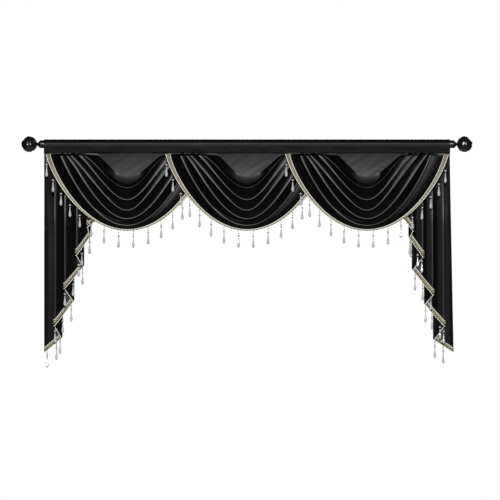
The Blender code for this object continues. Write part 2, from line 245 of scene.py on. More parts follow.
def guide_line(name, points, vectors=None):
    """A line of points with no faces, for a modifier to follow."""
    mesh = bpy.data.meshes.new(name)
    edges = [(i, i + 1) for i in range(len(points) - 1)]
    mesh.from_pydata(np.asarray(points).tolist(), edges, [])
    for label, values in (vectors or {}).items():
        attribute = mesh.attributes.new(label, "FLOAT_VECTOR", "POINT")
        attribute.data.foreach_set("vector", np.asarray(values, dtype=np.float32).ravel())
    return new_object(name, mesh)


def joined(name, pieces):
    """Several meshes as one object, each keeping its own materials."""
    with bpy.context.temp_override(active_object=pieces[0], selected_editable_objects=pieces):
        bpy.ops.object.join()
    pieces[0].name = pieces[0].data.name = name
    return pieces[0]


# ---------------------------------------------------------------- materials


class NodeTree:
    """Short words for building a node tree."""

    def __init__(self, tree):
        self.tree = tree

    def put(self, node, inputs):
        """Give a node's inputs plain values, or link other nodes' outputs to them."""
        for name, value in inputs.items():
            if isinstance(value, bpy.types.NodeSocket):
                self.tree.links.new(value, node.inputs[name])
            else:
                node.inputs[name].default_value = value

    def add(self, kind, inputs=None, **values):
        node = self.tree.nodes.new(kind)
        for name, value in values.items():
            setattr(node, name, value)
        self.put(node, inputs or {})
        return node

    def out(self, kind, inputs=None, **values):
        """The first output of a new node."""
        return self.add(kind, inputs, **values).outputs[0]

    def math(self, operation, *values):
        return self.out("ShaderNodeMath", dict(enumerate(values)), operation=operation)


class Finish(NodeTree):
    """A new material with its Principled shader, ready for its weave or grain."""

    def __init__(self, name, colour, roughness, specular):
        material = bpy.data.materials.new(name)
        material.use_nodes = True
        material.diffuse_color = (*colour, 1.0)
        super().__init__(material.node_tree)
        self.colour, self.roughness = colour, roughness
        self.shader = self.tree.nodes["Principled BSDF"]
        self.set({"Base Color": (*colour, 1.0), "Roughness": roughness, "Specular IOR Level": specular})

    def set(self, inputs):
        self.put(self.shader, inputs)

    def place(self):
        return self.add("ShaderNodeTexCoord").outputs["Object"]

    def cloth_place(self):
        """Place on the cloth itself, in metres."""
        return self.out("ShaderNodeUVMap", uv_map="cloth")

    def finer(self, place, along, down):
        """The same place with its pattern this many times finer along and down the cloth."""
        return self.out("ShaderNodeMapping", {"Vector": place, "Scale": (along, down, 1.0)})

    def noise(self, place, scale, detail):
        return self.out("ShaderNodeTexNoise", {"Vector": place, "Scale": scale, "Detail": detail})

    def twist(self, scale, **more):
        """Slanting waves, as of twisted yarn."""
        inputs = {"Vector": self.place(), "Scale": scale, **more}
        return self.add("ShaderNodeTexWave", inputs, bands_direction="DIAGONAL").outputs["Fac"]

    def tinted(self, share):
        return (*[min(part * share, 1.0) for part in self.colour], 1.0)

    def vary_colour(self, value, dark, light, start=0.0, end=1.0):
        """The colour grows from dark to light as the value goes from start to end."""
        shades = self.add("ShaderNodeValToRGB", {"Fac": value})
        for element, place, share in zip(shades.color_ramp.elements, (start, end), (dark, light)):
            element.position = place
            element.color = self.tinted(share)
        self.set({"Base Color": shades.outputs["Color"]})

    def vary_gloss(self, value, low, high, start=0.0, end=1.0):
        """The roughness grows from low to high as the value goes from start to end."""
        inputs = {"Value": value, "From Min": start, "From Max": end, "To Min": low, "To Max": high}
        self.set({"Roughness": self.out("ShaderNodeMapRange", inputs)})

    def bump(self, height, strength, distance):
        inputs = {"Height": height, "Strength": strength, "Distance": distance}
        self.set({"Normal": self.out("ShaderNodeBump", inputs)})


def satin(finish):
    """Black satin: fine weft lines, and slubs that vary its gloss."""
    place = finish.cloth_place()
    slubs = finish.noise(finish.finer(place, 9.0, 90.0), 1.0, 3.0)
    finish.vary_gloss(slubs, finish.roughness - 0.03, finish.roughness + 0.03, 0.3, 0.7)
    finish.bump(finish.noise(finish.finer(place, 260.0, 2400.0), 1.0, 2.0), 0.04, 0.0004)


def twisted_thread(finish):
    """Braid cord: twisted yarn, with painted shade: its colour is darker in the grooves between its strands
    and lighter on their crowns.
    """
    twist = finish.twist(420.0, Distortion=2.0, Detail=1.0)
    # painted shade: the colour follows the strands' height, darker in the grooves and lighter on the crowns
    finish.vary_colour(twist, 0.76, 1.15)
    finish.bump(twist, 0.35, 0.0003)
    finish.set({"Sheen Weight": 0.2})


def woven_tape(finish):
    """The braid's ground: a plain weave in dark gold."""
    weave = finish.add(
        "ShaderNodeTexChecker",
        {"Vector": finish.finer(finish.cloth_place(), 900.0, 900.0), "Scale": 1.0,
         "Color1": finish.tinted(1.15), "Color2": finish.tinted(0.6)},
    )
    finish.set({"Base Color": weave.outputs["Color"]})
    finish.bump(weave.outputs["Fac"], 0.5, 0.0003)


def cut_crystal(finish):
    """Clear cut crystal, slightly milky, so that it reads on black and on white."""
    finish.set({"Transmission Weight": 0.25, "IOR": 1.52})
    finish.vary_colour(finish.noise(finish.place(), 120.0, 2.0), 0.82, 1.0, 0.35, 0.65)


def clear_glass(finish):
    """Clear seed beads: their rims look dark on white, and their gleam shows on black."""
    finish.set({"Transmission Weight": 1.0, "IOR": 1.5})
    finish.vary_gloss(finish.noise(finish.place(), 300.0, 1.0), 0.02, 0.09)


def gloss_enamel(finish):
    """Black enamel with a faint orange-peel grain."""
    grain = finish.noise(finish.place(), 160.0, 3.0)
    finish.vary_gloss(grain, 0.2, 0.32)
    finish.bump(grain, 0.12, 0.0006)


def plain_thread(finish):
    """Sewing thread."""
    finish.bump(finish.twist(900.0), 0.3, 0.0001)


def matt_floor(finish):
    """A pale floor, very slightly uneven."""
    finish.bump(finish.noise(finish.place(), 3.0, 4.0), 0.02, 0.002)


def material_named(name):
    """Each finish is made once, when a piece first asks for it: its kind, colour, roughness, specular."""
    trim, black = settings("trim"), settings("cloth").colour
    finishes = {
        "swag_satin": (satin, black, 0.36, 0.18),
        "tail_satin": (satin, black, 0.36, 0.26),
        "heading_satin": (satin, black, 0.46, 0.11),
        "pale_gold_cord": (twisted_thread, trim.pale_gold, 0.45, 0.4),
        "old_gold_cord": (twisted_thread, trim.old_gold, 0.45, 0.4),
        "dark_gold_tape": (woven_tape, trim.dark_gold, 0.6, 0.3),
        "cut_crystal": (cut_crystal, trim.crystal, 0.06, 0.5),
        "clear_glass": (clear_glass, (0.80, 0.80, 0.82), 0.05, 0.5),
        "black_thread": (plain_thread, (0.004, 0.004, 0.005), 0.5, 0.4),
        "black_enamel": (gloss_enamel, settings("rod").enamel, 0.16, 0.5),
        "pale_floor": (matt_floor, (0.66, 0.65, 0.64), 0.7, 0.2),
    }
    if name not in bpy.data.materials:
        kind, colour, roughness, specular = finishes[name]
        kind(Finish(name, tuple(colour), roughness, specular))
    return bpy.data.materials[name]


# ---------------------------------------------------------------- node trees for what repeats


SOCKETS = {float: "NodeSocketFloat", int: "NodeSocketInt", type(None): "NodeSocketObject"}


def node_group(name, defaults):
    """A Geometry Nodes tree with these named inputs, of which None is an object, and a material."""
    nodes = NodeTree(bpy.data.node_groups.new(name, "GeometryNodeTree"))
    sockets = nodes.tree.interface
    sockets.new_socket("Geometry", in_out="INPUT", socket_type="NodeSocketGeometry")
    for label, default in defaults.items():
        socket = sockets.new_socket(label, in_out="INPUT", socket_type=SOCKETS[type(default)])
        if default is not None:
            socket.default_value = default
    sockets.new_socket("Material", in_out="INPUT", socket_type="NodeSocketMaterial")
    sockets.new_socket("Geometry", in_out="OUTPUT", socket_type="NodeSocketGeometry")
    return nodes, nodes.add("NodeGroupInput").outputs


def finish_group(nodes, given, geometry):
    """Every tree ends in real meshes with their material set."""
    real = nodes.out("GeometryNodeRealizeInstances", {"Geometry": geometry})
    done = nodes.out("GeometryNodeSetMaterial", {"Geometry": real, "Material": given["Material"]})
    nodes.add("NodeGroupOutput", {"Geometry": done})
    return nodes.tree


def cord_tree(name):
    """A cord that waves from side to side along a guide line, over and under its neighbour.

    The guide's points carry "half_width", a vector to the braid's outer edge, and "face".
    """
    nodes, given = node_group(
        name,
        {"Step": 0.001, "Pitch": 0.010, "Phase": 0.0, "Swing": 0.6, "Side": 0.0, "Lift": 0.001,
         "Over": 0.001, "Radius": 0.001},
    )
    curve = nodes.out("GeometryNodeMeshToCurve", {"Mesh": given["Geometry"]})
    even = nodes.out("GeometryNodeResampleCurve", {"Curve": curve, "Length": given["Step"]}, mode="LENGTH")
    length = nodes.add("GeometryNodeSplineParameter").outputs["Length"]
    turns = nodes.math("DIVIDE", length, given["Pitch"])
    angle = nodes.math("MULTIPLY_ADD", turns, 2 * pi, given["Phase"])
    sideways = nodes.math("MULTIPLY_ADD", nodes.math("SINE", angle), given["Swing"], given["Side"])
    outwards = nodes.math("MULTIPLY_ADD", nodes.math("COSINE", angle), given["Over"], given["Lift"])
    shifts = []
    for label, share in (("half_width", sideways), ("face", outwards)):
        way = nodes.out("GeometryNodeInputNamedAttribute", {"Name": label}, data_type="FLOAT_VECTOR")
        shifts.append(nodes.out("ShaderNodeVectorMath", {0: way, "Scale": share}, operation="SCALE"))
    shift = nodes.out("ShaderNodeVectorMath", dict(enumerate(shifts)), operation="ADD")
    moved = nodes.out("GeometryNodeSetPosition", {"Geometry": even, "Offset": shift})
    ring = nodes.out("GeometryNodeCurvePrimitiveCircle", {"Resolution": 6, "Radius": given["Radius"]})
    cord = nodes.out("GeometryNodeCurveToMesh", {"Curve": moved, "Profile Curve": ring, "Fill Caps": True})
    return finish_group(nodes, given, nodes.out("GeometryNodeSetShadeSmooth", {"Geometry": cord}))


def hanging_tree(name):
    """One string of beads under each point of a guide, each turned differently."""
    nodes, given = node_group(name, {"Bead": None, "Seed": 7, "Sway": 0.03})
    bead = nodes.add("GeometryNodeObjectInfo", {"Object": given["Bead"]}).outputs["Geometry"]
    least = nodes.math("MULTIPLY", given["Sway"], -1.0)
    low = nodes.out("ShaderNodeCombineXYZ", {"X": least, "Y": least, "Z": 0.0})
    high = nodes.out("ShaderNodeCombineXYZ", {"X": given["Sway"], "Y": given["Sway"], "Z": 2 * pi})
    turn = nodes.out(
        "FunctionNodeRandomValue", {0: low, 1: high, "Seed": given["Seed"]}, data_type="FLOAT_VECTOR"
    )
    rotation = nodes.out("FunctionNodeEulerToRotation", {"Euler": turn})
    hung = nodes.out(
        "GeometryNodeInstanceOnPoints",
        {"Points": given["Geometry"], "Instance": bead, "Rotation": rotation},
    )
    return finish_group(nodes, given, hung)


def stitch_tree(name):
    """A row of stitches along a guide line."""
    nodes, given = node_group(name, {"Pitch": 0.004, "Length": 0.0028, "Radius": 0.0003})
    curve = nodes.out("GeometryNodeMeshToCurve", {"Mesh": given["Geometry"]})
    points = nodes.add(
        "GeometryNodeCurveToPoints", {"Curve": curve, "Length": given["Pitch"]}, mode="LENGTH"
    )
    stitch = nodes.out("GeometryNodeMeshUVSphere", {"Segments": 8, "Rings": 5, "Radius": 1.0})
    half = nodes.math("MULTIPLY", given["Length"], 0.5)
    size = nodes.out("ShaderNodeCombineXYZ", {"X": given["Radius"], "Y": given["Radius"], "Z": half})
    along = nodes.out("FunctionNodeAlignRotationToVector", {"Vector": points.outputs["Tangent"]}, axis="Z")
    sewn = nodes.out(
        "GeometryNodeInstanceOnPoints",
        {"Points": points.outputs["Points"], "Instance": stitch, "Rotation": along, "Scale": size},
    )
    return finish_group(nodes, given, nodes.out("GeometryNodeSetShadeSmooth", {"Geometry": sewn}))


TREES = {"braid_cord": cord_tree, "hanging_beads": hanging_tree, "stitches": stitch_tree}


def run_tree(obj, name, material, **values):
    """Puts a node tree on the object with these inputs, and keeps the mesh that it makes."""
    tree = bpy.data.node_groups.get(name) or TREES[name](name)
    modifier = obj.modifiers.new(name, "NODES")
    modifier.node_group = tree
    sockets = {item.name: item.identifier for item in tree.interface.items_tree if item.in_out == "INPUT"}
    for label, value in {**values, "Material": material_named(material)}.items():
        modifier[sockets[label]] = value
    return plain_mesh(obj)


def sew(name, lines, pitch=0.004, length=0.0028, radius=0.0003):
    """Rows of black stitches along several lines, as one mesh."""
    sizes = {"Pitch": pitch, "Length": length, "Radius": radius}
    return joined(name, [
        run_tree(guide_line(f"{name}_{number}", line), "stitches", "black_thread", **sizes)
        for number, line in enumerate(lines)
    ])


# ---------------------------------------------------------------- rod and finials

BALL_STEPS = 72
PINCH = 0.006  # radius where the ball meets its neck
NECK_WIDER = 0.0005  # than the rod
NECK_CLEAR = 0.0003  # of the rod's end
NECK_LENGTH = 0.017
NECK_ROUNDING = 0.003
DENT_DEPTH = 0.0034
DENT_MEAN = 0.3  # mean depth, as a share of DENT_DEPTH
DENTS = 70.0  # the higher, the closer together
ON_BALL = 0.97  # share of the radius from which a point counts as the ball's
DENTS_REACH = 0.93  # how far they reach towards the neck, as a share of the radius


def finial_outline(side):
    """Half section from the ball's far pole, over the plain neck, to the rod's end."""
    neck = ROD_RADIUS + NECK_WIDER
    neck_end = ROD_END + NECK_CLEAR
    neck_start = neck_end + NECK_LENGTH
    narrow = neck - NECK_ROUNDING
    last = pi - atan2(PINCH, sqrt(BALL_RADIUS**2 - PINCH**2))
    outline = [
        (BALL_RADIUS * sin(angle), BALL_CENTRE + BALL_RADIUS * cos(angle))
        for angle in np.linspace(0, last, BALL_STEPS + 1)
    ]
    ball_end = BALL_CENTRE + BALL_RADIUS * cos(last)
    outline += [
        (blend(PINCH, narrow, share), blend(ball_end, neck_start + 0.002, share**0.9))
        for share in (0.25, 0.5, 0.75, 0.97)
    ]
    outline += [
        (narrow + NECK_ROUNDING * sin(angle), neck_start - NECK_ROUNDING * (1 - cos(angle)) + 0.001)
        for angle in np.linspace(0.35, pi / 2, 6)
    ]
    outline += [(neck, neck_end), (0.0, neck_end)]
    return [(radius, side * along) for radius, along in outline]


def turned(name, outline, steps):
    """An outline of (radius, distance along X) turned round the rod's axis."""
    obj = guide_line(name, [(along, 0.0, radius) for radius, along in outline])
    screw = obj.modifiers.new("turned", "SCREW")
    screw.axis = "X"
    screw.steps = screw.render_steps = steps
    screw.use_merge_vertices = True
    screw.merge_threshold = 0.00001
    screw.use_normal_calculate = True
    return plain_mesh(obj)


def face_outwards(obj):
    shape = bmesh.new()
    shape.from_mesh(obj.data)
    bmesh.ops.remove_doubles(shape, verts=shape.verts, dist=0.00001)
    bmesh.ops.recalc_face_normals(shape, faces=shape.faces)
    shape.to_mesh(obj.data)
    shape.free()


def dent(finial, side):
    """Shallow slanting dents all over the ball, but not where the neck meets it."""
    centre = Vector((side * BALL_CENTRE, 0.0, 0.0))
    start = BALL_CENTRE - DENTS_REACH * BALL_RADIUS
    for vertex in finial.data.vertices:
        out = vertex.co - centre
        if out.length > ON_BALL * BALL_RADIUS and side * vertex.co.x > start:
            slant = Vector((out.x + out.z, out.y, 0.5 * (out.z - out.x)))
            vertex.co -= out.normalized() * DENT_DEPTH * (DENT_MEAN + noise.noise(slant * DENTS))


class VALANCE_OT_rod(bpy.types.Operator):
    """Finish the rod and turn a ball finial for each of its ends"""

    bl_idname = "valance.rod"
    bl_label = "Rod and finials"

    def execute(self, context):
        enamel = material_named("black_enamel")
        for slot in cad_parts["rod"].material_slots:
            slot.material = enamel
        for name, side in (("left", -1), ("right", 1)):
            finial = turned("ball_finial_" + name, finial_outline(side), settings("rod").turned_steps)
            finial.data.materials.append(enamel)
            face_outwards(finial)
            dent(finial, side)
            finial.data.shade_smooth()
            finial.data.set_sharp_from_angle(angle=radians(40))
            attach(finial, "root")
            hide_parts("finial_" + name)
        return {"FINISHED"}


# ---------------------------------------------------------------- heading

POCKET_RADIUS = ROD_RADIUS + 0.0012  # to the middle of the cloth
POCKET_EASE = 0.0024  # how much further it stands off the rod on top
POCKET_WRAPS = pi + 0.95  # from its front over the rod
SEAM_HEIGHT = -0.031
SEAM_FORWARD = 0.0172
SIDE_HEM = 0.018
SIDE_HEM_RAISED = 0.0005
HEM_STEP = 0.0008  # from the plain cloth to the raised hem
STITCHED_ROWS = (-5, -8)  # of the heading's grid
STITCHED_COLUMNS = (7, -8)
STITCHES_OFF = 0.00005  # the cloth's face
# The strip in front of the rod: how far behind the pocket's front it lies, first at these heights
# above the lower edge and then at these heights.
STRIP_LOW = (
    (0.0035, 0.0), (0.0032, 0.0012), (0.0030, 0.0028), (0.0028, 0.0045), (0.0026, 0.0062),
    (0.0025, 0.0080),
)
STRIP = (
    (0.0022, -0.0325), (0.0019, -0.0290), (0.0014, -0.0240), (0.0008, -0.0180), (0.0002, -0.0120),
    (-0.0002, -0.0060),
)
PUCKER = 0.0011
FINE_PUCKER = 0.0005


def heading_section():
    """(forward, height) from the front strip's lower edge, over the rod, to the seam behind the strip."""
    section = [(POCKET_RADIUS - behind, HEADING_BOTTOM + up) for behind, up in STRIP_LOW]
    section += [(POCKET_RADIUS - behind, height) for behind, height in STRIP]
    section += [
        (POCKET_RADIUS * cos(angle), POCKET_RADIUS * sin(angle) + POCKET_EASE * max(sin(angle), 0.0))
        for angle in np.linspace(0.0, POCKET_WRAPS, 46)
    ]
    last = section[-1]
    section += [
        (blend(last[0], SEAM_FORWARD, share), blend(last[1], SEAM_HEIGHT, share))
        for share in (0.25, 0.5, 0.75, 1.0)
    ]
    return np.array(section)


def heading_point(x, forward, height):
    """A point of the heading: it puckers most where it hangs free, and its side hems stand out."""
    pucker = PUCKER * noise.noise(Vector((x * 7.0, forward * 20, height * 30)))
    pucker += FINE_PUCKER * noise.noise(Vector((x * 26.0, height * 40, 3.7)))
    free = soft_step((-0.004 - height) / 0.02) if forward > 0 else 0.3
    out = pucker * (0.25 + 0.75 * free)
    if abs(x) > HALF_WIDTH - SIDE_HEM:
        out += SIDE_HEM_RAISED
    across, up = (1.0 if forward > 0 else -0.4), 0.0
    if height > 0:
        reach = hypot(forward, height)
        across, up = forward / reach, height / reach
    return x, -(forward + out * across), height + max(out, 0.0) * up * 0.5


def heading_grid():
    """The heading from the seam over the rod to the lower edge, which hangs towards the viewer."""
    side = np.concatenate((np.linspace(1 - SIDE_HEM / HALF_WIDTH, 0.995, 6), [0.9975, 1.0]))
    beside = 1 - (SIDE_HEM + HEM_STEP) / HALF_WIDTH
    places = np.concatenate((-side[::-1], np.linspace(-beside, beside, 170), side)) * HALF_WIDTH
    return np.array([[heading_point(x, *point) for x in places] for point in heading_section()[::-1]])


class VALANCE_OT_heading(bpy.types.Operator):
    """Make the heading with its rod pocket, hems and stitching"""

    bl_idname = "valance.heading"
    bl_label = "Heading"

    def execute(self, context):
        grid = heading_grid()
        thickness = settings("cloth").thickness
        heading = sheet_object("heading_band", grid, "heading_satin", thickness)
        front = grid + facing(grid) * (thickness / 2 + STITCHES_OFF)
        sides = [front[10:-1, column] for column in STITCHED_COLUMNS]
        stitches = sew("heading_stitches", [front[row] for row in STITCHED_ROWS] + sides)
        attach(heading, "root")
        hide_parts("heading")
        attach(stitches, "root")
        length = float(spacing(heading_section()).sum())
        return {"FINISHED"}


# ---------------------------------------------------------------- swags

# Each fold hangs from shoulder to shoulder. drop: how far its middle lies below SWAG_TOP. left,
# right: how far its ends lie from the swag's middle. round: how rounded its lowest stretch is, where
# 0 is a sharp V. fall: how steeply it leaves the shoulders. forward: how far its middle stands out.
# rise_left, rise_right: how far it stands out beside the shoulders.
# soft_right: how much softer than the others it rolls beside the right shoulder.
Fold = namedtuple("Fold", "name drop left right round fall forward rise_left rise_right soft_right")
SWAG_FOLDS = (
    Fold("top", 0.000, 0.143, 0.170, 0.60, 1.00, 0.000, 0.0000, 0.000, 1.0),
    Fold("brim", 0.114, 0.145, 0.172, 0.60, 1.00, 0.000, 0.0000, 0.000, 1.0),
    Fold("fold_1", 0.1705, 0.244, 0.210, 0.90, 1.69, 0.011, 0.0120, 0.014, 1.0),
    Fold("fold_2", 0.2305, 0.255, 0.235, 0.41, 1.18, 0.031, 0.0060, 0.002, 3.0),
    Fold("fold_3", 0.2825, 0.291, 0.262, 0.31, 1.07, 0.042, 0.0065, 0.001, 3.4),
    Fold("fold_4", 0.324, 0.311, 0.304, 1.09, 1.18, 0.048, 0.0075, 0.000, 2.2),
    Fold("fold_5", 0.357, 0.335, 0.320, 8.00, 0.95, 0.049, 0.0190, 0.000, 1.0),
    Fold("braid", 0.3725, 0.379, 0.379, 8.00, 0.77, 0.041, -0.0030, -0.010, 1.0),
    Fold("edge", 0.3775, 0.406, 0.406, 8.00, 0.77, 0.021, -0.0040, -0.011, 1.0),
)
# place: counted from the middle one. right_lifts: the last swag's right side lies over the tail, so
# it comes forward nearly as far as the left sides do.
Swag = namedtuple("Swag", "place right_lifts")
SWAGS = {"left": Swag(-1, 0.0), "centre": Swag(0, 0.0), "right": Swag(1, 0.9)}
SWAG_SPACING = 0.5895  # between the swags' middles
SWAG_SHIFT = 0.001  # of the centre one to the right
SHOULDER_FORWARD_LEFT = 0.0164  # a left shoulder lies in front of its neighbour's right one
SHOULDER_FORWARD_RIGHT = 0.0084
LIFT_FROM = 0.0040  # the drop at which the folds come out from under the heading
FIRST_LIFT = 0.007  # the cloth comes forward there at once, and then again further down
FIRST_LIFT_HEIGHT = 0.003
SECOND_LIFT = 0.007
SECOND_LIFT_HEIGHT = 0.090
RISE_HEIGHT_LEFT, RISE_HEIGHT_RIGHT = 0.006, 0.014  # over which a fold's rise grows there
COLUMNS_EVEN = 0.3  # 0 crowds a swag's columns at its shoulders, and 1 spaces them evenly
ROLL_SOFTENS_WITHIN = 0.8  # beyond this share of the way out a fold's roll no longer softens
ROLL_SOFTENS_LATE = 1.5  # at 1 it softens evenly
PRESSED_AT_HEADING = 0.70  # what is left of a fold's depth where it is sewn into the heading
PRESSED_HEIGHT = 0.015
BOWL_LEVEL = 0.0095  # how far forward the open bowl lies, under the heading
BOWL_LEANS_BACK = 0.045  # at its top, and it comes upright towards its brim
BOWL_COMES_UPRIGHT = 0.30
BOWL_TURNS_LEFT = 0.12  # its left part turns away more and more
BOWL_TURNS_FROM = 0.02
STREAK_DEPTH = 0.0003
STREAK_ANGLE = radians(35)
STREAKS_ALONG, STREAKS_ASIDE = 9, 42  # how fine they are
BRIM_SLOPE = 0.01  # below its brim, in the middle, the bowl runs back more and more
BRIM_CURLS = 0.25
CURLS_WITHIN = 0.42
CLIFF_FROM = 0.72  # and then the first fold stands out from it
ROLL_MOST = 0.49  # at 0.5 the whole way would be one roll
FURROW_SLOPE = 0.54
LIP = 0.0026  # how far a fold hangs over the furrow below it
LIP_DEPTH = 0.35  # the share of the furrow's depth at which the lip has turned right under
LIP_REACH = 0.70  # how much of its overhang it still has there
LIP_MOST = 0.12  # of the way to the next fold, where that is less
VALLEY_CORNER, VALLEY_END = 0.14, 0.75  # how far down the valley bends and ends, in overhangs
BAND_TURN = 0.05  # the outer band first turns under, then runs back evenly to the braid
BAND_TURN_SHARE = 0.12
BAND_BULGE = 2.4  # beside the right shoulder it faces forwards first and turns away near the braid
BAND_BULGES_FROM = 0.6  # in full, from this share of the way to the right shoulder on
BRAID_PAST_HEM = 0.003

# Small creases that cross a furrow: below which fold, where they start and end across the swag, and
# how far down the furrow they lie there.
Crease = namedtuple("Crease", "below start end down_start down_end height")
CREASES = (
    Crease("fold_2", -0.36, -0.16, 0.80, 0.52, 0.0015),
    Crease("fold_3", 0.10, 0.34, 0.40, 0.72, 0.0009),
    Crease("fold_4", -0.52, 0.02, 0.86, 0.16, 0.0017),
)
CREASE_WIDTH = 0.0045
CREASE_FADES = 0.25  # share of its length over which it fades at each end

# The rows of the cloth below each fold: the stages that it goes through, and the shares of the way
# through each at which a row lies.
HEM_HEIGHT = hypot(SWAG_FOLDS[-1].drop - SWAG_FOLDS[-2].drop, SWAG_FOLDS[-2].forward - SWAG_FOLDS[-1].forward)
OTHER_STAGES = {
    "top": {"bowl": tuple(step / 24 for step in range(24)) + (0.985,)},
    "brim": {
        "swell": (
            0.0, 0.04, 0.12, 0.24, 0.38, 0.52, 0.64, 0.712, 0.72, 0.728, 0.78, 0.84, 0.89, 0.93,
            0.965, 0.985,
        )
    },
    "fold_5": {"band": (0.0, 0.015, 0.035, 0.06, 0.09, 0.13, 0.18, 0.25, 0.34, 0.45, 0.57, 0.70, 0.85)},
    "braid": {"hem": (0.0, 0.5, 1 - BRAID_PAST_HEM / HEM_HEIGHT, 1.0)},
}
FURROW_STAGES = {
    "lip": (0.0, 0.2, 0.4, 0.6, 0.8, 1.0),
    "valley": (0.4, 0.7, 0.86, 0.95, 1.0),
    "slope": (0.10, 0.22, 0.34, 0.45, 0.55, 0.64, 0.72, 0.79, 0.85, 0.90, 0.94, 0.965, 0.985),
}


def hang(fold, across):
    """Share of a fold's drop that it reaches at this share of the way out from its middle."""
    spread = fold.round
    slack = (np.sqrt(across**2 + spread**2) - spread) / (sqrt(1 + spread**2) - spread)
    return np.maximum(1 - slack, 0.0) ** fold.fall


def stand(swag, across, drop):
    """How far forward the cloth lies before its folds swell: the left side laps over its neighbour."""
    left = (1 - across) / 2
    tucked_in = blend(SHOULDER_FORWARD_RIGHT, SHOULDER_FORWARD_LEFT, left)
    lift = FIRST_LIFT * ramp((drop - LIFT_FROM) / FIRST_LIFT_HEIGHT)
    lift = lift + SECOND_LIFT * ramp((drop - LIFT_FROM) / SECOND_LIFT_HEIGHT)
    return tucked_in + blend(swag.right_lifts, 1.0, left) * lift


def crest(swag, fold, across):
    """(x, drop, forward) along a fold's crest, from the swag's middle."""
    reach = np.where(across < 0, fold.left, fold.right)
    drop = fold.drop * hang(fold, across)
    side = 1 - (1 - across**2) ** 2
    rise = np.where(across < 0, fold.rise_left, fold.rise_right) * side
    rise = rise * ramp((drop - LIFT_FROM) / np.where(across < 0, RISE_HEIGHT_LEFT, RISE_HEIGHT_RIGHT))
    forward = stand(swag, across, drop) + fold.forward * (1 - side) + rise
    return np.stack((reach * across, drop, forward), axis=-1)


def roll_radius(fold, across):
    """Radius of a fold's roll: soft beside the shoulders, sharp at the lowest point."""
    cloth = settings("cloth")
    side = np.where(across < 0, cloth.roll_left, cloth.roll_right * fold.soft_right)
    out = np.minimum(np.abs(across) / ROLL_SOFTENS_WITHIN, 1.0)
    return blend(cloth.roll_middle, side, out**ROLL_SOFTENS_LATE)


def bowl_forward(x, drop):
    """The open cloth above the first fold hangs nearly straight, with faint slanting streaks."""
    level = BOWL_LEVEL - BOWL_LEANS_BACK * drop + BOWL_COMES_UPRIGHT * drop**2
    level = level - BOWL_TURNS_LEFT * np.maximum(BOWL_TURNS_FROM - x, 0.0) ** 2
    along = x * cos(STREAK_ANGLE) - drop * sin(STREAK_ANGLE)
    aside = x * sin(STREAK_ANGLE) + drop * cos(STREAK_ANGLE)
    streaks = [
        noise.noise(Vector((a * STREAKS_ALONG, b * STREAKS_ASIDE, 1.3))) for a, b in zip(along, aside)
    ]
    return level + STREAK_DEPTH * np.array(streaks)


def swell_forward(share, across, apart, lower, brim, radius):
    """From the brim the cloth swells out to the first fold. In its middle it curls back first."""

    def rising(start, way):
        height = lower - start
        roll = np.minimum(radius, ROLL_MOST * way**2 / height)
        slope = (way - np.sqrt(way**2 - 2 * roll * height)) / roll
        return lower - climb(apart * (1 - share), roll, slope)

    def running_back(at):
        return brim + apart * at * (BRIM_SLOPE - BRIM_CURLS * at / 2)

    curling = running_back(share)
    if share > CLIFF_FROM:
        curling = rising(running_back(CLIFF_FROM), apart * (1 - CLIFF_FROM))
    return blend(rising(brim, apart), curling, 1 / (1 + (across / CURLS_WITHIN) ** 6))


def curve_point(start, corner, end, share):
    """A point of the curve that leaves start towards corner and comes into end from it."""
    return (1 - share) ** 2 * start + 2 * share * (1 - share) * corner + share**2 * end


def furrow_section(stage, share, apart, upper, lower, radius):
    """(way down, forward): below a crest the cloth hangs over, turns under and climbs out again."""

    def rising(way):
        return lower - climb(apart - way, radius, FURROW_SLOPE)

    lip = np.minimum(LIP, apart * LIP_MOST)
    turn_way, turn_forward = LIP_REACH * lip, blend(upper, rising(0.0), LIP_DEPTH)
    corner_way, end_way = VALLEY_CORNER * lip, VALLEY_END * lip
    if stage == "lip":
        return curve_point(0.0, lip, turn_way, share), curve_point(upper, upper, turn_forward, share)
    if stage == "valley":
        forward = curve_point(turn_forward, rising(corner_way), rising(end_way), share)
        return curve_point(turn_way, corner_way, end_way, share), forward
    way = blend(end_way, apart, share)
    return way, rising(way)


def crease_forward(fold, down, across, apart):
    """Soft ridges where the cloth creases across a furrow."""
    out = np.zeros_like(across)
    for crease in CREASES:
        if crease.below == fold.name:
            share = (across - crease.start) / (crease.end - crease.start)
            middle = blend(crease.down_start, crease.down_end, share)
            inside = soft_step(share / CREASE_FADES) * soft_step((1 - share) / CREASE_FADES)
            out += crease.height * inside * np.exp(-(((down - middle) * apart / CREASE_WIDTH) ** 2))
    return out


def band_forward(share, across, lower, upper):
    """The band below the last fold turns under and then runs back, bulging at its right side."""
    turned_under = BAND_TURN_SHARE * np.exp(-share / BAND_TURN)
    left, right = (turned_under + (1 - BAND_TURN_SHARE) * (1 - share**bulge) for bulge in (1, BAND_BULGE))
    return blend(lower, upper, blend(left, right, soft_step(across / BAND_BULGES_FROM)))


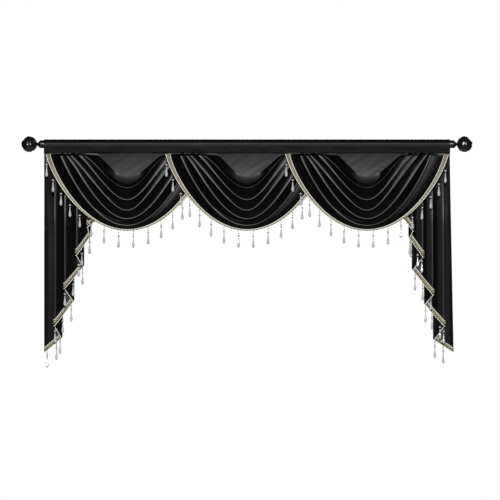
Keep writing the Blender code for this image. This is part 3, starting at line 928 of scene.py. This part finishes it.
def swag_row(swag, upper_fold, lower_fold, stage, share, across):
    """Points across a swag, this share of the way through a stage of the cloth between two folds."""
    upper, lower = crest(swag, upper_fold, across), crest(swag, lower_fold, across)
    point = blend(upper, lower, share)
    apart = np.hypot(lower[:, 0] - upper[:, 0], lower[:, 1] - upper[:, 1])
    radius = roll_radius(lower_fold, across)
    if stage == "bowl":
        point[:, 2] = bowl_forward(point[:, 0], point[:, 1])
    elif stage == "swell":
        brim = bowl_forward(upper[:, 0], upper[:, 1])
        point[:, 2] = swell_forward(share, across, apart, lower[:, 2], brim, radius)
    elif stage == "band":
        point[:, 2] = band_forward(share, across, lower[:, 2], upper[:, 2])
    elif stage in FURROW_STAGES:
        way, forward = furrow_section(stage, share, apart, upper[:, 2], lower[:, 2], radius)
        down = way / apart
        point = blend(upper, lower, down[:, None])
        pressed = blend(PRESSED_AT_HEADING, 1.0, soft_step(point[:, 1] / PRESSED_HEIGHT))
        point[:, 2] = blend(point[:, 2], forward, pressed)
        point[:, 2] += crease_forward(upper_fold, down, across, apart)
    return np.stack((point[:, 0], -point[:, 2], SWAG_TOP - point[:, 1]), axis=-1)


def swag_middle(name):
    return SWAG_SHIFT + SWAG_SPACING * SWAGS[name].place


def swag_grid(name):
    """Rows of points from the heading to the braid's outer edge, which lies past the cloth's hem."""
    share = np.linspace(0, 1, settings("cloth").columns + 1)
    across = blend(-np.cos(pi * share), 2 * share - 1, COLUMNS_EVEN)
    grid = np.array([
        swag_row(SWAGS[name], upper, lower, stage, share, across)
        for upper, lower in zip(SWAG_FOLDS, SWAG_FOLDS[1:])
        for stage, shares in OTHER_STAGES.get(upper.name, FURROW_STAGES).items()
        for share in shares
    ])
    grid[:, :, 0] += swag_middle(name)
    return grid


def tucked(grid):
    """The same cloth, run up behind the heading along its top row and at both shoulders."""
    up = np.array((0.0, 0.0, TUCK))
    aside = np.array((TUCK_ASIDE, 0.0, 0.0))
    corner = up * TUCK_CORNER
    top = [grid[0, 0] + corner - aside], grid[0] + up, [grid[0, -1] + corner + aside]
    rows = [np.concatenate(([row[0] + up - aside], row, [row[-1] + up + aside])) for row in grid]
    return np.array([np.concatenate(top)] + rows)


class VALANCE_OT_swags(bpy.types.Operator):
    """Drape the three swags from the heading"""

    bl_idname = "valance.swags"
    bl_label = "Swags"

    def execute(self, context):
        thickness = settings("cloth").thickness
        for name in SWAGS:
            swag = sheet_object("swag_cloth_" + name, tucked(swag_grid(name)[:-1]), "swag_satin", thickness)
            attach(swag, "root")
            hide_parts("swag_" + name)
        return {"FINISHED"}


# ---------------------------------------------------------------- tails

# From a tail's outer edge inwards and from the back to the front: each is a fold, and the cloth
# between two of them is a layer. inward: from the valance's end at the hem. flare: how far it swings
# outwards from top to hem. drop: to the hem.
Pleat = namedtuple("Pleat", "inward flare drop")
PLEATS_LEFT = tuple(Pleat(inward, 0.0, drop) for inward, drop in (
    (0.000, 0.981), (0.089, 0.911), (0.049, 0.850), (0.148, 0.729), (0.099, 0.667),
    (0.197, 0.557), (0.158, 0.502), (0.231, 0.409), (0.214, 0.364), (0.251, 0.333),
))
PLEATS_RIGHT = tuple(Pleat(*pleat) for pleat in (
    (-0.019, 0.019, 0.980), (0.081, 0.004, 0.920), (0.025, 0.004, 0.852), (0.126, 0.0, 0.744),
    (0.081, 0.002, 0.698), (0.187, 0.0, 0.575), (0.131, 0.0, 0.511), (0.204, 0.0, 0.414),
    (0.182, 0.0, 0.382), (0.227, 0.0, 0.320),
))
# Which layer of the tail each crystal drop hangs from, and how far inwards.
DROPS_LEFT = (
    (0, 0.014), (0, 0.060), (1, 0.079), (2, 0.054), (2, 0.091), (2, 0.133), (4, 0.104),
    (4, 0.144), (4, 0.190), (5, 0.171), (6, 0.187), (6, 0.226), (7, 0.225),
)
DROPS_RIGHT = (
    (0, 0.032), (0, 0.073), (2, 0.030), (2, 0.049), (2, 0.088), (2, 0.119), (4, 0.094),
    (4, 0.133), (4, 0.171), (6, 0.140), (6, 0.160), (6, 0.192), (7, 0.197),
)
# side: -1 is the viewer's left. front: how far forward the front pleat lies. roll: radius of the
# cloth's roll over a pleat's outer fold. lean: how steeply the face runs back from there. turn: how
# steeply it turns away just before the next pleat covers it.
Tail = namedtuple("Tail", "side front roll lean turn pleats drops")
TAILS = {
    "left": Tail(-1, 0.0060, 0.026, 0.54, 0.52, PLEATS_LEFT, DROPS_LEFT),
    "right": Tail(1, -0.0020, 0.030, 0.30, 0.80, PLEATS_RIGHT, DROPS_RIGHT),
}
LAST_FOLD = len(PLEATS_LEFT) - 1
TURNS_FROM = 0.68  # share of the seen part of a face
# Between layers: at the heading, and where the pleats have opened, behind a return and in front.
PLEAT_GAP_TOP = 0.0024
PLEAT_GAP_FACE = 0.0090
PLEAT_GAP_BACK = 0.0046
PLEATS_OPEN_OVER = 0.280  # down from the heading
PLEATS_PRESSED = 0.15  # what is left of their faces' shape at the heading
TAIL_COMES_FORWARD = 0.016  # as it hangs down, from this drop and over this height
FORWARD_FROM = 0.100
FORWARD_OVER = 0.250
EDGE_LEAN = 0.25  # the outermost pleat's face leans back least, this steeply, where it is flattest
EDGE_CURL = 0.35  # and this much more steeply at its edge
EDGE_FLATTEST = 0.6  # share of the way across it
TURN_SOFTNESS = 0.004
TAIL_BRAID_WIDTH = 0.020
SAG = 0.0010
BEND_STEPS = 6
FACE_SHARES = (0.02, 0.05, 0.09, 0.14, 0.20, 0.27, 0.35, 0.44, 0.54, 0.65, 0.77, 0.9)
BACK_SHARES = (0.25, 0.5, 0.75)
TAIL_ROWS = 64

Column = namedtuple("Column", "fold turn layer share")  # on a bend at a fold, or on a flat layer


def layer_forward(layer, drop):
    """How far a layer lies behind the front one: pleats are pressed at the heading and open below."""
    opened = soft_step(drop / PLEATS_OPEN_OVER)
    gaps = [PLEAT_GAP_FACE if gap % 2 else PLEAT_GAP_BACK for gap in range(LAST_FOLD - 1, layer, -1)]
    return -sum(blend(PLEAT_GAP_TOP, wide, opened) for wide in gaps)


def bend_centre(tail, fold, drop):
    """(inward, radius) of the round bend at a fold. The first and last folds are the cloth's edges."""
    pleat = tail.pleats[fold]
    inward = pleat.inward + pleat.flare * (1 - drop / pleat.drop)
    if fold in (0, LAST_FOLD):
        return inward, 0.0
    radius = (layer_forward(fold, drop) - layer_forward(fold - 1, drop)) / 2
    return (inward - radius if fold % 2 else inward + radius), radius


def face_fall(tail, layer, way, seen):
    """How far a pleat's face lies behind its outer fold, this way in from it."""
    if layer == 0:
        middle = seen * EDGE_FLATTEST
        curl = EDGE_CURL / (3 * middle**2)
        return EDGE_LEAN * way + curl * ((way - middle) ** 3 + middle**3)
    past = max(way - seen * TURNS_FROM, 0.0)
    turning = (tail.turn - tail.lean) * past**2 / (past + TURN_SOFTNESS)
    return float(climb(way, tail.roll, tail.lean)) + turning


def face_offset(tail, layer, inward, drop):
    """A pleat's face rolls over its outer fold and leans back until the next pleat covers it."""
    outer = bend_centre(tail, layer, drop)[0]
    seen = bend_centre(tail, min(layer + 2, LAST_FOLD), drop)[0] - outer
    reached = face_fall(tail, layer, min(max(inward - outer, 0.0), seen), seen)
    return face_fall(tail, layer, seen, seen) / 2 - reached


def fold_offset(tail, fold, drop):
    """How far a fold stands in front of its layers' level place."""
    return face_offset(tail, fold - fold % 2, bend_centre(tail, fold, drop)[0], drop)


def tail_columns():
    columns = [Column(None, 0.0, 0, 0.0)]
    for layer in range(LAST_FOLD):
        if layer > 0:
            columns += [Column(layer, step / BEND_STEPS, None, 0.0) for step in range(BEND_STEPS + 1)]
        shares = BACK_SHARES if layer % 2 else FACE_SHARES
        columns += [Column(None, 0.0, layer, share) for share in shares]
    return columns + [Column(None, 0.0, LAST_FOLD - 1, 1.0)]


def column_hem(tail, column):
    """The hem's drop in this column, and how much taller than wide the slanting braid is there."""
    if column.layer is None:
        before, middle, after = tail.pleats[column.fold - 1:column.fold + 2]
        rise = abs(before.drop - after.drop)
        path = abs(middle.inward - before.inward) + abs(after.inward - middle.inward)
        return middle.drop, hypot(1.0, rise / path)
    before, after = tail.pleats[column.layer:column.layer + 2]
    slope = abs(before.drop - after.drop) / abs(before.inward - after.inward)
    return blend(before.drop, after.drop, column.share), hypot(1.0, slope)


def bend_point(tail, column, drop):
    """(inward, forward before it opens, how far in front of that) on the round bend at a fold."""
    centre, radius = bend_centre(tail, column.fold, drop)
    middle = (layer_forward(column.fold, drop) + layer_forward(column.fold - 1, drop)) / 2
    angle = pi * column.turn - pi / 2
    side = 1 if column.fold % 2 else -1
    inward = centre + side * radius * cos(angle)
    return inward, middle + radius * sin(angle), fold_offset(tail, column.fold, drop)


def layer_point(tail, column, drop):
    """(inward, forward before it opens, how far in front of that) on a face or a return."""
    layer = column.layer
    start, end = (bend_centre(tail, fold, drop)[0] for fold in (layer, layer + 1))
    inward = blend(start, end, column.share)
    if layer % 2 == 0:
        offset = face_offset(tail, layer, inward, drop)
    else:
        offset = blend(fold_offset(tail, layer, drop), fold_offset(tail, layer + 1, drop), column.share)
    return inward, layer_forward(layer, drop), offset


def tail_point(tail, column, drop):
    place = bend_point if column.layer is None else layer_point
    inward, forward, offset = place(tail, column, drop)
    forward += offset * blend(PLEATS_PRESSED, 1.0, soft_step(drop / PLEATS_OPEN_OVER))
    forward += tail.front + TAIL_COMES_FORWARD * float(soft_step((drop - FORWARD_FROM) / FORWARD_OVER))
    sag = SAG * noise.noise(Vector((inward * 22, drop * 4.0, 5.1 + tail.side)))
    return tail.side * (HALF_WIDTH - inward), -(forward + sag), SWAG_TOP - drop


def tail_row(name, height_at):
    """Points across the tail at a height that height_at gives from each column's hem and slant."""
    tail = TAILS[name]
    row = [tail_point(tail, column, height_at(*column_hem(tail, column))) for column in tail_columns()]
    return np.array(row[::-tail.side])


def tail_grid(name):
    """Rows of points from behind the heading down to the cloth's hem."""
    rows = [tail_row(name, lambda hem, slant: 0.0) + np.array((0.0, 0.0, TUCK))]
    for share in np.linspace(0, 1, TAIL_ROWS + 1):
        rows.append(tail_row(name, lambda hem, slant: (hem - BRAID_PAST_HEM * slant) * share))
    return np.array(rows)


class VALANCE_OT_tails(bpy.types.Operator):
    """Hang a pleated tail at each end"""

    bl_idname = "valance.tails"
    bl_label = "Tails"

    def execute(self, context):
        thickness = settings("cloth").thickness
        for name in TAILS:
            tail = sheet_object("tail_cloth_" + name, tail_grid(name), "tail_satin", thickness)
            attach(tail, "root")
            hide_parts("tail_" + name)
        return {"FINISHED"}


# ---------------------------------------------------------------- braids

TRIMS = ("left", "centre", "right", "tail_left", "tail_right")
TAPE_THICKNESS = 0.0008
TAPE_CLEAR = 0.0002  # between the cloth and the tape
BRAID_STARTS_BELOW = 0.0050  # SWAG_TOP, clear of the heading's lower edge
DOT_PITCH, DOT_LENGTH, DOT_RADIUS = 0.016, 0.0056, 0.0019
# Places across the braid: -1 is its upper edge, and 1 its outer one.
PLAIT_SIDE, PLAIT_SWING = -0.04, 0.32
UPPER_CORD = -0.80
OUTER_CORD_SWAG, OUTER_CORD_TAIL = 0.62, 1.02


def trim_node(name):
    return "trim_" + (name if name.startswith("tail") else "swag_" + name)


def below_heading(lines, height):
    """The stretch of each line that lies below the heading, which this height along them tells."""
    limit = SWAG_TOP - BRAID_STARTS_BELOW
    clear = np.flatnonzero(height < limit)
    def at_limit(line, inner, outer):
        share = (limit - height[inner]) / (height[outer] - height[inner])
        return [blend(line[inner], line[outer], share)]

    first, last = clear[0], clear[-1]
    return [
        np.concatenate((at_limit(line, first, first - 1), line[clear], at_limit(line, last, last + 1)))
        for line in lines
    ]


def braid_strip(name):
    """(upper edge, hem, outer edge) of a trim, and which way it faces, on the cloth's face."""
    if name in SWAGS:
        grid = swag_grid(name)
        rows, faces = grid[-4:], facing(grid)[-4:]
        upper, hem, outer, face = below_heading([rows[0], rows[2], rows[3], faces[1]], rows[3][:, 2])
    else:
        upper, hem, outer = (
            tail_row(name.removeprefix("tail_"), lambda hem, slant: hem - above * slant)
            for above in (TAIL_BRAID_WIDTH, BRAID_PAST_HEM, 0.0)
        )
        face = facing(np.array([upper, hem, outer]))[1]
    away = settings("cloth").thickness / 2 + TAPE_CLEAR + TAPE_THICKNESS / 2
    return [line + face * away for line in (upper, hem, outer)] + [face]


def make_braid(name):
    """A woven tape with two plaited cords and dark dots down its middle, and a pale cord at each edge.

    The outer one lies on the tape of a swag, and right on the edge of a tail's tape.
    """
    upper, _, outer, face = braid_strip(name)
    ways = {"half_width": (outer - upper) / 2, "face": face}
    middle = (upper + outer) / 2
    pitch, radius = settings("trim").braid_pitch, settings("trim").cord_radius
    resting = TAPE_THICKNESS / 2 + radius
    tape = np.array([blend(upper, outer, share) for share in np.linspace(0, 1, 6)])
    pieces = [sheet_object("braid_" + name, tape, "dark_gold_tape", TAPE_THICKNESS)]
    for phase in (0.0, pi):
        pieces.append(run_tree(
            guide_line("plait_" + name, middle, ways), "braid_cord", "old_gold_cord",
            Phase=phase, Step=pitch / 18, Pitch=pitch, Swing=PLAIT_SWING, Side=PLAIT_SIDE,
            Lift=resting + radius * 0.4, Over=radius * 0.6, Radius=radius * 1.2,
        ))
    dots = middle + face * (resting + radius * 1.9)
    pieces.append(sew("dots_" + name, [dots], pitch=DOT_PITCH, length=DOT_LENGTH, radius=DOT_RADIUS))
    on_tape = resting * 0.9
    outer_edge = (OUTER_CORD_SWAG, on_tape) if name in SWAGS else (OUTER_CORD_TAIL, 0.0)
    for side, lift in ((UPPER_CORD, on_tape), outer_edge):
        pieces.append(run_tree(
            guide_line("edge_" + name, middle, ways), "braid_cord", "pale_gold_cord",
            Phase=0.0, Step=0.002, Pitch=pitch / 2, Swing=0.06 * side, Side=side,
            Lift=lift, Over=0.0, Radius=radius * 1.4,
        ))
    return joined("braid_" + name, pieces)


class VALANCE_OT_braids(bpy.types.Operator):
    """Sew a gold braid along the hem of each swag and tail"""

    bl_idname = "valance.braids"
    bl_label = "Braids"

    def execute(self, context):
        for name in TRIMS:
            braid = make_braid(name)
            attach(braid, "root")
            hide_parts(trim_node(name))
        return {"FINISHED"}


# ---------------------------------------------------------------- crystal drops

SWAG_DROPS = (0.036, 0.108, 0.172, 0.229, 0.277, 0.320, 0.360, 0.392)
COVERED_FROM = 0.300  # the next swag covers the drops beyond this, at the right
DROPS_SHIFT = -0.0055  # the drops' middle against the swag's
DROPS_HANG_FORWARD = 0.0050  # in front of the tape
# Cut crystal beads: their rings from the top down, as depth below the hem and radius.
RONDELLE = ((0.0265, 0.0010), (0.0283, 0.0048), (0.0310, 0.0060), (0.0337, 0.0048), (0.0353, 0.0010))
TEARDROP = (
    (0.0395, 0.0010), (0.0410, 0.0024), (0.0500, 0.0026), (0.0630, 0.0044), (0.0740, 0.0064),
    (0.0800, 0.0070), (0.0850, 0.0054), (0.0890, 0.0024), (0.0905, 0.0006),
)
CRYSTAL_SIDES = 10
THREAD = ((0.0005, 0.0004), (0.0400, 0.0004))
THREAD_SIDES = 8
# Round beads on the thread: depth of the middle, and radius.
SEED_BEADS = ((0.0070, 0.0021), (0.0118, 0.0025), (0.0167, 0.0021), (0.0228, 0.0030), (0.0379, 0.0024))


def cut_rings(shape, rings, sides, twist):
    """Facets between rings of points, of which every other one is turned by the twist."""
    loops = []
    for number, (below, radius) in enumerate(rings):
        angles = [2 * pi * (corner + twist * (number % 2)) / sides for corner in range(sides)]
        loops.append([shape.verts.new((radius * cos(a), radius * sin(a), -below)) for a in angles])
    for number, (upper, lower) in enumerate(zip(loops, loops[1:])):
        halves = ((0, 1, 2), (0, 2, 3)) if number % 2 else ((0, 1, 3), (3, 1, 2))
        for corner in range(sides):
            after = (corner + 1) % sides
            quad = (upper[corner], lower[corner], lower[after], upper[after])
            for half in halves:
                shape.faces.new([quad[i] for i in half])
    shape.faces.new(loops[0][::-1])
    shape.faces.new(loops[-1])


def hanging_object(name, beads, sides, twist):
    """Beads at the origin, one below the other, for the node tree to copy."""
    shape = bmesh.new()
    for rings in beads:
        cut_rings(shape, rings, sides, twist)
    bmesh.ops.recalc_face_normals(shape, faces=shape.faces)
    mesh = bpy.data.meshes.new(name)
    shape.to_mesh(mesh)
    shape.free()
    return new_object(name, mesh)


def round_bead(below, radius):
    """The rings of a round bead, with a hole for its thread."""
    angles = np.linspace(0, pi, 6)
    return [(below - radius * cos(angle), radius * sin(angle) + 0.0001) for angle in angles]


def line_point(line, x):
    """The point of a line at this x."""
    for start, end in zip(line, line[1:]):
        low, high = sorted((start[0], end[0]))
        if low <= x <= high:
            return blend(start, end, (x - start[0]) / (end[0] - start[0]))
    raise ValueError(f"no point of the hem at {x}")


def lies_on(column, layer):
    """A layer runs from halfway round the bend before it to halfway round the bend after it."""
    if column.layer is not None:
        return column.layer == layer
    return (column.fold == layer and column.turn >= 0.5) or (column.fold == layer + 1 and column.turn <= 0.5)


def drop_roots(name):
    """Where a trim's crystal drops hang from: halfway between the cloth's hem and the braid's edge."""
    _, hem, outer, _ = braid_strip(name)
    line = (hem + outer) / 2 - np.array((0.0, DROPS_HANG_FORWARD, 0.0))
    if name in SWAGS:
        places = sorted([-place for place in SWAG_DROPS] + list(SWAG_DROPS))
        if name != "right":
            places = [place for place in places if place < COVERED_FROM]
        return [line_point(line, swag_middle(name) + DROPS_SHIFT + place) for place in places]
    tail = TAILS[name.removeprefix("tail_")]
    columns = tail_columns()[::-tail.side]
    return [
        line_point(
            [point for point, column in zip(line, columns) if lies_on(column, layer)],
            tail.side * (HALF_WIDTH - inward),
        )
        for layer, inward in tail.drops
    ]


class VALANCE_OT_drops(bpy.types.Operator):
    """Hang the crystal drops from the braids"""

    bl_idname = "valance.drops"
    bl_label = "Crystal drops"

    def execute(self, context):
        crystal = hanging_object("crystal_bead", (RONDELLE, TEARDROP), CRYSTAL_SIDES, 0.5)
        seed_beads = [round_bead(*bead) for bead in SEED_BEADS]
        thread = hanging_object("thread_bead", (THREAD, *seed_beads), THREAD_SIDES, 0.0)
        seed = settings("trim").seed
        for name in TRIMS:
            roots = drop_roots(name)
            for label, bead, material in (
                ("crystals_", crystal, "cut_crystal"), ("threads_", thread, "clear_glass"),
            ):
                guide = guide_line(label + name, roots)
                drops = run_tree(guide, "hanging_beads", material, Bead=bead, Seed=seed, Sway=0.02)
                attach(drops, "root")
                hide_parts(trim_node(name))
        for bead in (crystal, thread):
            bpy.data.objects.remove(bead)
        return {"FINISHED"}


# ---------------------------------------------------------------- cloth facts


class VALANCE_OT_cloth_facts(bpy.types.Operator):
    """An empty step: it says nothing yet about the panels of satin or what is sewn to them"""

    bl_idname = "valance.cloth_facts"
    bl_label = "Cloth facts"

    def execute(self, context):
        # A swag is cut as a fan, and a tail's hem slants: their areas are smaller than their boxes.
        return {"FINISHED"}


# ---------------------------------------------------------------- stage

FRAME_HEIGHT = 2.463  # what the photograph's frame spans at the valance
VIEW_CENTRE = Vector((0.0148, 0.0, -0.5212))
LENS = 300.0
SENSOR = 36.0
KEY_DISTANCE = 17.0
KEY_ELEVATION = radians(16.0)
KEY_SIZE = 1.7
BACK_PLACE = (3.0, 4.5, 2.0)  # of the right one, which the left one mirrors
BACK_SIZE = 1.6
FLOOR_RADIUS = 3.2


def camera():
    data = bpy.data.cameras.new("camera")
    data.lens = LENS
    data.sensor_width = SENSOR
    obj = new_object("camera", data)
    obj.location = VIEW_CENTRE + Vector((0.0, -FRAME_HEIGHT * LENS / SENSOR, 0.0))
    obj.rotation_euler = (pi / 2, 0.0, 0.0)
    return obj


def disk_light(name, location, size, power):
    """A round light that shines at the middle of the view."""
    light = bpy.data.lights.new(name, "AREA")
    light.shape = "DISK"
    light.size = size
    light.energy = power
    obj = new_object(name, light)
    obj.location = location
    obj.rotation_euler = (VIEW_CENTRE - Vector(location)).to_track_quat("-Z", "Y").to_euler()


def studio_world(fill):
    """A white background for the camera, and a faint even light for everything else."""
    world = bpy.data.worlds.new("studio")
    world.use_nodes = True
    world.node_tree.nodes.clear()
    nodes = NodeTree(world.node_tree)
    seen = nodes.add("ShaderNodeLightPath").outputs["Is Camera Ray"]
    dim, white = (
        nodes.out("ShaderNodeBackground", {"Color": (1.0, 1.0, 1.0, 1.0), "Strength": strength})
        for strength in (fill, 1.0)
    )
    both = nodes.out("ShaderNodeMixShader", {0: seen, 1: dim, 2: white})
    nodes.add("ShaderNodeOutputWorld", {"Surface": both})
    bpy.context.scene.world = world


def round_floor(height):
    shape = bmesh.new()
    bmesh.ops.create_circle(shape, cap_ends=True, segments=96, radius=FLOOR_RADIUS)
    mesh = bpy.data.meshes.new("floor")
    shape.to_mesh(mesh)
    shape.free()
    mesh.materials.append(material_named("pale_floor"))
    floor = new_object("floor", mesh)
    floor.location = (0.0, 0.0, height)
    return floor


class VALANCE_OT_stage(bpy.types.Operator):
    """Set up the camera, the lights and the floor"""

    bl_idname = "valance.stage"
    bl_label = "Stage"

    def execute(self, context):
        stage = settings("stage")
        context.scene.camera = camera()
        key_way = Vector((0.0, -cos(KEY_ELEVATION), sin(KEY_ELEVATION)))
        disk_light("key_light", VIEW_CENTRE + key_way * KEY_DISTANCE, KEY_SIZE, stage.key_power)
        for side in (-1, 1):
            place = (side * BACK_PLACE[0], *BACK_PLACE[1:])
            disk_light(f"back_light_{side}", place, BACK_SIZE, stage.back_power)
        round_floor(stage.floor_height)
        studio_world(stage.fill)
        context.scene.view_settings.view_transform = "Standard"
        return {"FINISHED"}


# ---------------------------------------------------------------- panel and registration

OPERATORS = (
    VALANCE_OT_rod, VALANCE_OT_heading, VALANCE_OT_swags, VALANCE_OT_tails, VALANCE_OT_braids,
    VALANCE_OT_drops, VALANCE_OT_cloth_facts, VALANCE_OT_stage,
)


class VALANCE_PT_panel(bpy.types.Panel):
    """The valance's sizes, colours and making steps"""

    bl_idname = "VALANCE_PT_panel"
    bl_label = "Window Valance"
    bl_space_type = "VIEW_3D"
    bl_region_type = "UI"
    bl_category = "Valance"

    def draw(self, context):
        for group, kind in SETTINGS.items():
            box = self.layout.box()
            box.label(text=kind.__doc__)
            for name in kind.__annotations__:
                box.prop(settings(group), name)
        for operator in OPERATORS:
            self.layout.operator(operator.bl_idname)


def register():
    for group, kind in SETTINGS.items():
        bpy.utils.register_class(kind)
        setattr(bpy.types.Scene, "valance_" + group, PointerProperty(type=kind))
    for kind in (*OPERATORS, VALANCE_PT_panel):
        bpy.utils.register_class(kind)


def unregister():
    for kind in reversed((*OPERATORS, VALANCE_PT_panel)):
        bpy.utils.unregister_class(kind)
    for group, kind in SETTINGS.items():
        delattr(bpy.types.Scene, "valance_" + group)
        bpy.utils.unregister_class(kind)


def main():
    register()
    bpy.ops.valance.rod()
    bpy.ops.valance.heading()
    bpy.ops.valance.swags()
    bpy.ops.valance.tails()
    bpy.ops.valance.braids()
    bpy.ops.valance.drops()
    bpy.ops.valance.cloth_facts()
    bpy.ops.valance.stage()


if __name__ == "__main__":
    main()
